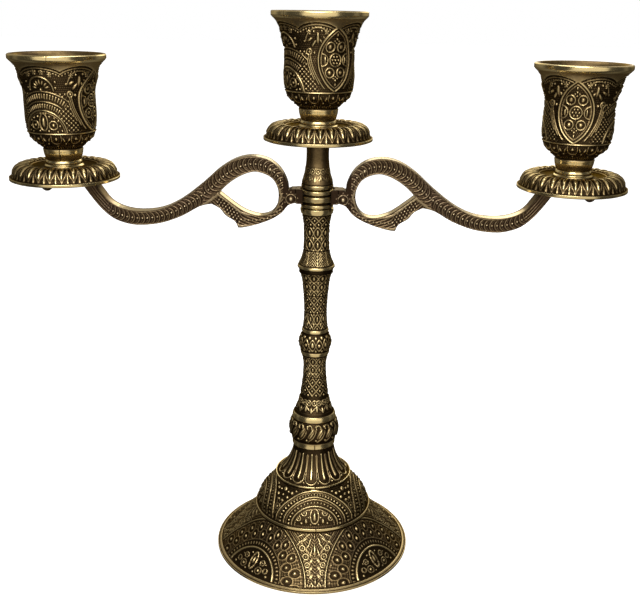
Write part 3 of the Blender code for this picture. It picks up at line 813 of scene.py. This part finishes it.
def knop_wave(turn, radius, level):
    """Two waves laced round the knop, with a drop above, below and in each loop."""
    turn, v = turn + 8, level - 113.0
    swing = 2.9 * np.cos(np.radians(turn * KNOP_WAVES))
    laces = tallest(ridge((v - swing) * 0.8, 0.5), ridge((v + swing) * 0.8, 0.5))
    here, aside = columns_round(turn, radius, KNOP_WAVES)
    cross = columns_round(turn, radius, 2 * KNOP_WAVES)[1]
    drops = tallest(GLINT * teardrop(here, 0.2 - v, 1.15, 1.7), GLINT * bead(aside, v, 1.05),
                    GLINT * bead(cross, v - 3.8, 0.95), bead(cross, v + 3.2, 0.8))
    return tallest(0.9 * laces, drops) * band(level, 108.9, 118.4)


def lower_relief(turn, level, radius, run):
    """From the ridge joint down through the knop to the leafy foot of the stem."""
    parts = [laced_columns(turn + 6.5, radius, level, 10, 149.3, 138.0, 4.5),
             bead_net(turn + 6.5, radius, level, 10, 137.8, 129.0, 4.2),
             laced_columns(turn - 11.5, radius, level, 10, 128.8, 120.8, 5.6),
             knop_wave(turn, radius, level),
             laced_columns(turn + 8, radius, level, 10, 105.8, 95.0, 4.4),
             bead_net(turn + 8, radius, level, 10, 94.8, 85.4, 4.4),
             curled_leaves(turn + 8, radius, level, 9, 80.6) * band(level, 76.2, 85.0),
             0.2 * stipple(np.radians(turn) * radius, level, 0.9) * band(level, 76.2, 149.2)]
    plain = tallest(band(level, 118.6, 120.4), band(level, 106.4, 108.6), band(level, 72, 75.6))
    return tallest(*parts, POLISHED * plain, LOWEST + 0 * parts[0])


def upper_relief(turn, level, radius, run):
    """A plain bright collar, then laced leafwork, then upright leaves on the ridge."""
    parts = [bead_net(turn + 8, radius, level, 10, 177.5, 172.6, 4.0),
             laced_columns(turn - 7, radius, level, 9, 172.4, 160.6, 5.9),
             leaning_veins(turn - 7, radius, level, 9, 160.4, 153.4, 1.4),
             0.2 * stipple(np.radians(turn) * radius, level, 0.9) * band(level, 153.4, 177.4)]
    plain = tallest(ramp(level - 177.9, 0.4), band(level, 151.4, 153.2))
    return tallest(*parts, POLISHED * plain, LOWEST + 0 * parts[0])


def top_relief(turn, level, radius, run):
    """Smooth and dark above, darkest just under the drip pan in painted shade, with a little leafwork on its
    flare and a bright ring at its foot.
    """
    # Painted shade: the smooth top is coloured darker above about 204 mm, just under the drip pan.
    smooth = 0.30 + 0.12 * ramp(204 - level, 3) + 0 * turn
    u, other = arc(turn + 9, 40, radius), arc(turn - 11, 40, radius)
    spray = tallest(bead(u, level - 200, 0.6), leaf(other, 195.2 - level, 35, 0.42, 1.3),
                    bead(other, level - 198.2, 0.5), 0.6 * ring(u, level - 196.3, 2.0, 0.35),
                    0.55 * ridge(fold(u, 1.3), 0.34) * band(level, 193, 197),
                    0.85 * curled_leaves(turn + 9, radius, level, 7, 197.2))
    return tallest(smooth * (level > 192.6), 0.95 * spray * band(level, 192.9, 203.5, 1.2),
                   0.95 * ramp(192.4 - level, 0.4))


def hub_relief(turn, level, radius, run):
    """Three plain ribs; the grooves between them are in the outline."""
    return np.clip((radius - 7.2) / 0.3, 0.15, 1) + 0 * turn


def build_stem():
    for node, columns, relief, depth, body in (
            ("stem_bulb", 260, bulb_relief, 0.7, "stand"), ("stem_lower", 210, lower_relief, 0.5, "stand"),
            ("stem_upper", 210, upper_relief, 0.5, "stand"), ("stem_top", 180, top_relief, 0.35, "stand"),
            ("arm_hub", 200, hub_relief, 0.35, "arms")):
        mesh = spun_mesh(node + "_cast", spun_outline(node), columns, relief, depth, rubbed=0.60)
        place(node + "_cast", mesh, antique_brass, body, [node])


def build_base():
    """The base's casting, in two closed skins that meet in the groove under its second ring."""
    chain = downwards(spun_outline("base"))[0]
    groove = next(i for i in range(len(chain)) if chain[i][1] <= SPLIT_HEIGHT + 0.01)
    inside = next(i for i in range(groove + 1, len(chain)) if chain[i][1] > SPLIT_HEIGHT + 0.01)
    a, b = chain[inside - 1], chain[inside]
    share = (SPLIT_HEIGHT - a[1]) / (b[1] - a[1])
    meet = (a + (b - a) * share)[None, :]
    upper = np.concatenate([chain[:groove + 1], meet, chain[inside:]])
    lower = np.concatenate([chain[groove:inside], meet])
    offset = run_along(flowing_line(chain[:groove + 1], FINE_STEP))[-1]

    def lower_skin(turn, level, radius, run):
        return base_relief(turn, level, radius, run + offset)

    for name, part, columns, relief, rubbed in (("base_dome_cast", upper, 560, base_relief, 0.66),
                                                ("base_skirt_cast", lower, 800, lower_skin, 0.52)):
        mesh = spun_mesh(name, part, columns, relief, 0.55, BASE_FACING, inner=0.2, rubbed=rubbed)
        place(name, mesh, antique_brass, "stand", ["base"])


def build_cups():
    """Three castings from one mould, each turned its own way, with their drip pans."""
    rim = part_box("candle_cup_centre")[1].z / MM
    cup = spun_outline("candle_cup_centre") - [0, rim]
    pan = spun_outline("drip_pan_centre") - [0, rim]
    cup_mesh = spun_mesh("candle_cup_cast", cup, 400, cup_relief, 0.62, inner=0.34)
    pan_mesh = spun_mesh("drip_pan_cast", pan, 448, pan_relief, 0.55, inner=0.3)
    for side in LIGHTS:
        low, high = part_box("candle_cup_" + side)
        at = ((low.x + high.x) / 2, (low.y + high.y) / 2, high.z)
        body = "light_" + side
        place("candle_cup_cast_" + side, cup_mesh, antique_brass, body,
              ["candle_cup_" + side], at, CUP_FACING[side])
        place("drip_pan_cast_" + side, pan_mesh, antique_brass, body,
              ["drip_pan_" + side], at, PAN_FACING[side])


# ---------------------------------------------------------------- arms

# Each path runs down the middle of a band of the arm: out from the axis, up, and half the band's
# width, all in mm.
SCROLL_PATH = ((13.9, 184.5, 2.2), (15.7, 190.3, 2.2), (18.4, 195.9, 2.8), (22.4, 199.6, 3.4),
               (30.5, 201.4, 3.6), (37.4, 199.5, 4.0), (44, 195.2, 4.1), (50.2, 189.5, 4.4),
               (62, 181, 3.7), (74, 175.7, 3.3), (83.8, 174.5, 3.25), (91, 175.3, 3.6),
               (97.4, 178.1, 4.0), (103.4, 184.6, 3.5), (109, 192, 3.0), (119, 195.4, 1.8))
BRANCH_PATH = ((48.5, 184.8, 2.6), (44, 181.9, 2.4), (40.5, 178.6, 2.6), (36, 175, 3.2), (31, 174.7, 2.6),
               (26, 175.1, 2.0), (21, 176.9, 1.6), (17.4, 180, 1.7), (15.4, 184, 2.2))
LUG_AT = (12.3, 185.2)
LUG_REACH = 15.9
SCALES_TURN = 54          # outside this the scales face the other way
BRANCH_ENDS = 47
VEINS_END = 36.5          # inside this the branch is veined, outside it has rows of beads
ARM_VOXEL = 0.00029
ARM_DEPTH = 0.5


def nearest_on_path(path, x, z):
    """For each point: how far along the path, how far to its side, and the band's half width there."""
    path = np.array(path, float)
    line = flowing_line(path[:, :2], 0.5)
    run = run_along(line)
    marks = run_along(path[:, :2])
    half = np.interp(run / run[-1] * marks[-1], marks, path[:, 2])
    flow = np.gradient(line, axis=0)
    flow /= np.hypot(flow[:, 0], flow[:, 1])[:, None]
    best = np.full(len(x), 1e9)
    along, aside, width = np.zeros(len(x)), np.zeros(len(x)), np.zeros(len(x))
    for i in range(len(line)):
        dx, dz = x - line[i, 0], z - line[i, 1]
        gap = dx * dx + dz * dz
        closer = gap < best
        best[closer] = gap[closer]
        along[closer] = run[i] + (dx * flow[i, 0] + dz * flow[i, 1])[closer]
        aside[closer] = (dz * flow[i, 0] - dx * flow[i, 1])[closer]
        width[closer] = half[i]
    return along, aside, width, np.sqrt(best)


def crescents(along, aside, pitch, reach):
    """A row of bowed ribs right across the band, with a fine line and a bead before each."""
    bowed = along - 1.45 * np.sqrt(np.clip(reach ** 2 - aside ** 2, 0, None))
    fine = 0.6 * ridge(fold(bowed + 0.42 * pitch, pitch), 0.24)
    return tallest(0.9 * ridge(fold(bowed, pitch), 0.38), fine * (np.abs(aside) > 0.9),
                   GLINT * bead(fold(along - 1.45 * reach + 0.45 * pitch, pitch), aside, 0.6))


def lug_carving(x, z):
    """The blunt end that meets the hub: one big bead in a ring, with small beads round it."""
    x, z = x - LUG_AT[0], z - LUG_AT[1]
    return tallest(GLINT * bead(x, z, 1.25), ring(x, z, 2.3, 0.3), bead_circle(x, z, 9, 3.2, 0.42, 10))


def arm_carving(x, z):
    """The height of the arm's side faces at each point, out from the axis and up."""
    along, aside, half, far = nearest_on_path(SCROLL_PATH, x, z)
    b_along, b_aside, b_half, b_far = nearest_on_path(BRANCH_PATH, x, z)
    on_branch = (b_far / b_half < far / half) & (x < BRANCH_ENDS)
    scales = np.where(x > SCALES_TURN, crescents(-along, aside, 2.4, 4.0), crescents(along, aside, 2.4, 4.4))
    riser, smooth = ramp(x - 96, 5), ramp(x - 102, 5)
    veins = 0.8 * ridge(fold(aside, 1.15), 0.3)
    scroll = (scales * (1 - riser) + veins * riser) * (1 - smooth) + 0.3 * smooth
    scroll = tallest(scroll, GLINT * bead(x - 22, z - 199, 0.9))
    row = np.floor(b_along / 1.5) % 2
    scaled = GLINT * bead(fold(b_along - 0.75, 1.5), fold(b_aside + 0.7 * row, 1.4), 0.56)
    veined = tallest(0.8 * ridge(fold(b_aside - 0.35 * b_along, 1.4), 0.34),
                     GLINT * bead(fold(b_along, 1.8), b_aside, 0.55))
    carved = np.where(on_branch, np.where(x > VEINS_END, scaled, veined), scroll)
    edge = np.where(on_branch, b_half - np.abs(b_aside), half - np.abs(aside))
    on_band = edge > -0.6
    patch = 0.8 * ridge(fold(x - z, 1.7), 0.42) * ~on_band
    carved = tallest(carved * on_band, 0.85 * ramp(0.65 - edge, 0.2) * on_band, patch)
    return tallest(np.where(x < LUG_REACH, lug_carving(x, z), carved), 0.03 + 0 * x)


def even_mesh(node):
    """A copy of a node's mesh in small even faces, with its edges eased."""
    rough = add_object("rough_arm", node.data.copy())
    even = rough.modifiers.new("even_skin", "REMESH")
    even.mode = "VOXEL"
    even.voxel_size = ARM_VOXEL
    ease = rough.modifiers.new("ease", "SMOOTH")
    ease.factor = 0.5
    ease.iterations = 8
    mesh = bpy.data.meshes.new_from_object(rough.evaluated_get(bpy.context.evaluated_depsgraph_get()))
    bpy.data.objects.remove(rough)
    mesh.materials.clear()
    mesh.shade_smooth()
    return mesh


def point_values(mesh, name):
    values = np.empty(len(mesh.vertices) * 3, np.float32)
    mesh.vertices.foreach_get(name, values)
    return values.reshape(-1, 3)


def build_arm(side):
    """One scrolled arm, evenly remeshed from its node, both faces carved, its top edges in painted highlight.
    """
    mesh = even_mesh(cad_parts["arm_" + side])
    points, normals = point_values(mesh, "co"), point_values(mesh, "normal")
    out = np.abs(points[:, 0]) / MM
    face = np.clip((np.abs(normals[:, 1]) - 0.55) / 0.35, 0, 1)
    carved = arm_carving(out, points[:, 2] / MM)
    sunk = ARM_DEPTH * MM * np.clip(1 - carved, 0, 1) * face
    points[:, 1] -= np.sign(normals[:, 1]) * sunk
    mesh.vertices.foreach_set("co", points.ravel())
    mesh.update()
    # Painted highlight: the arm's edges that face up are coloured brighter than those that face down, most
    # across the middle of their tops, and stored with the carving's wear.
    painted_top_highlight = ramp(normals[:, 2] - 0.2, 0.4) * (out > LUG_REACH) * ramp(104 - out, 10)
    across = np.abs(points[:, 1])
    middle = ramp(0.62 - across / across.max(), 0.25)
    worn = np.where(carved > 1.0, 0.95, 0.05 + 0.60 * np.clip(carved, 0, 1))
    store(mesh, "wear_and_painted_highlight", worn * face + (1 - face) * (0.16 + 0.72 * painted_top_highlight * middle))
    place("arm_cast_" + side, mesh, arm_brass, "arms", ["arm_" + side])


# ---------------------------------------------------------------- hardware

HARDWARE = ("tie_rod", "base_nut", "base_washer", "arm_stud_left", "arm_stud_right", "cup_screw_left",
            "cup_screw_right", "cup_washer_left", "cup_washer_right")


def finish_hardware():
    """The plain fasteners keep their CAD shape and get their plating."""
    for node in HARDWARE:
        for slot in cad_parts[node].material_slots:
            slot.material = zinc_steel


# ---------------------------------------------------------------- studio

def area_light(name, at, aim, size, power):
    """A soft box that faces a point; the sizes are in metres."""
    data = bpy.data.lights.new(name, "AREA")
    data.shape = "RECTANGLE"
    data.size, data.size_y = size
    data.energy = power
    lamp = add_object(name, data)
    lamp.location = at
    lamp.rotation_euler = (Vector(at) - Vector(aim)).to_track_quat("Z", "Y").to_euler()
    lamp.visible_camera = False


def make_studio_group():
    """How bright the studio is in each direction: a tall window in front, a pale wall behind."""
    group, given, out = node_group("studio_brightness", [("Direction", "Vector", None)],
                                   [("Front", "Float"), ("Behind", "Float"), ("Aside", "Float")])
    split = group.nodes.new("ShaderNodeSeparateXYZ")
    group.links.new(given["Direction"], split.inputs[0])
    toward = math_node(group, "MULTIPLY", split.outputs["Y"], -1.0)
    bearing = math_node(group, "ADD", math_node(group, "ARCTAN2", split.outputs["X"], toward), -0.04)
    aside = math_node(group, "ABSOLUTE", bearing)
    side = math_node(group, "ABSOLUTE", math_node(group, "ADD", aside, -1.65))
    fill(group, out, {"Front": stretch(group, aside, 0.68, 0.76, 1.0, 0.0),
                      "Behind": stretch(group, aside, 1.9, 2.3),
                      "Aside": stretch(group, side, 0.08, 0.2, 1.0, 0.0)})
    return group


def studio_light(tree, direction, front, behind, aside, dark):
    """One number for the studio's brightness, from the strengths of its sides."""
    shares = grouped(tree, STUDIO, {"Direction": direction}).outputs
    total = dark
    for share, strength in (("Front", front), ("Behind", behind), ("Aside", aside)):
        total = math_node(tree, "MULTIPLY_ADD", shares[share], strength, total)
    return total


def show_two_ways(tree, seen, mirrored, surface):
    """Show one shader to the camera and the other to everything else."""
    path = tree.nodes.new("ShaderNodeLightPath")
    mix = tree.nodes.new("ShaderNodeMixShader")
    fill(tree, mix, {"Fac": path.outputs["Is Camera Ray"], 1: mirrored.outputs[0], 2: seen.outputs[0]})
    tree.links.new(mix.outputs[0], surface)


def build_world():
    """White behind the object; round it a window in front, a wall behind and dim sides."""
    world = bpy.data.worlds.new("studio")
    bpy.context.scene.world = world
    world.use_nodes = True
    tree = world.node_tree
    tree.nodes.clear()
    direction = tree.nodes.new("ShaderNodeTexCoord").outputs["Generated"]
    seen = fill(tree, tree.nodes.new("ShaderNodeBackground"), {"Color": (1, 1, 1, 1)})
    room = fill(tree, tree.nodes.new("ShaderNodeBackground"), {
        "Color": (1.0, 0.96, 0.90, 1),
        "Strength": studio_light(tree, direction, front=1.0, behind=0.42, aside=0.16, dark=0.07)})
    out = tree.nodes.new("ShaderNodeOutputWorld")
    show_two_ways(tree, seen, room, out.inputs["Surface"])


def build_floor():
    """A plain white table; what the metal reflects of it is as uneven as the room."""
    mesh = bpy.data.meshes.new("floor")
    reach = 6.0
    mesh.from_pydata([(-reach, -reach, 0), (reach, -reach, 0), (reach, reach, 0), (-reach, reach, 0)],
                     [], [(0, 1, 2, 3)])
    floor = add_object("floor", mesh)
    material, tree, shader = new_material("white_table")
    fill(tree, shader, {"Base Color": (0.9, 0.9, 0.9, 1), "Roughness": 0.9,
                        "Emission Color": (1, 1, 1, 1), "Emission Strength": 0.84})
    where = tree.nodes.new("ShaderNodeTexCoord").outputs["Object"]
    mirrored = fill(tree, tree.nodes.new("ShaderNodeEmission"), {
        "Color": (1.0, 0.94, 0.86, 1),
        "Strength": studio_light(tree, where, front=0.62, behind=0.12, aside=0.08, dark=0.045)})
    show_two_ways(tree, shader, mirrored, tree.nodes["Material Output"].inputs["Surface"])
    mesh.materials.append(material)


def build_camera():
    data = bpy.data.cameras.new("camera")
    data.lens = 51.0
    data.sensor_width = 36.0
    data.shift_x = -0.008
    data.shift_y = -0.0044
    data.clip_start = 0.01
    camera = add_object("camera", data)
    turn, tilt, roll = 0.0154, math.pi / 2 - 0.3153, 0.0183
    facing = Matrix.Rotation(turn, 4, "Z") @ Matrix.Rotation(tilt, 4, "X") @ Matrix.Rotation(roll, 4, "Z")
    camera.matrix_world = Matrix.Translation((0.01115, -0.4233, 0.274)) @ facing
    bpy.context.scene.camera = camera


def build_lights():
    area_light("front_box", (-0.05, -0.55, 0.55), (0, 0, 0.14), (0.35, 0.3), 2.2)
    area_light("top_box", (0.0, 0.1, 0.9), (0, 0, 0.1), (0.4, 0.4), 1.6)
    area_light("back_box", (0.15, 0.7, 0.5), (0, 0, 0.15), (0.5, 0.4), 1.5)


STUDIO = make_studio_group()
bpy.context.scene.view_settings.view_transform = "Standard"
build_camera()
build_world()
build_floor()
build_lights()
build_base()
build_stem()
build_cups()
for arm_side in ("left", "right"):
    build_arm(arm_side)
finish_hardware()
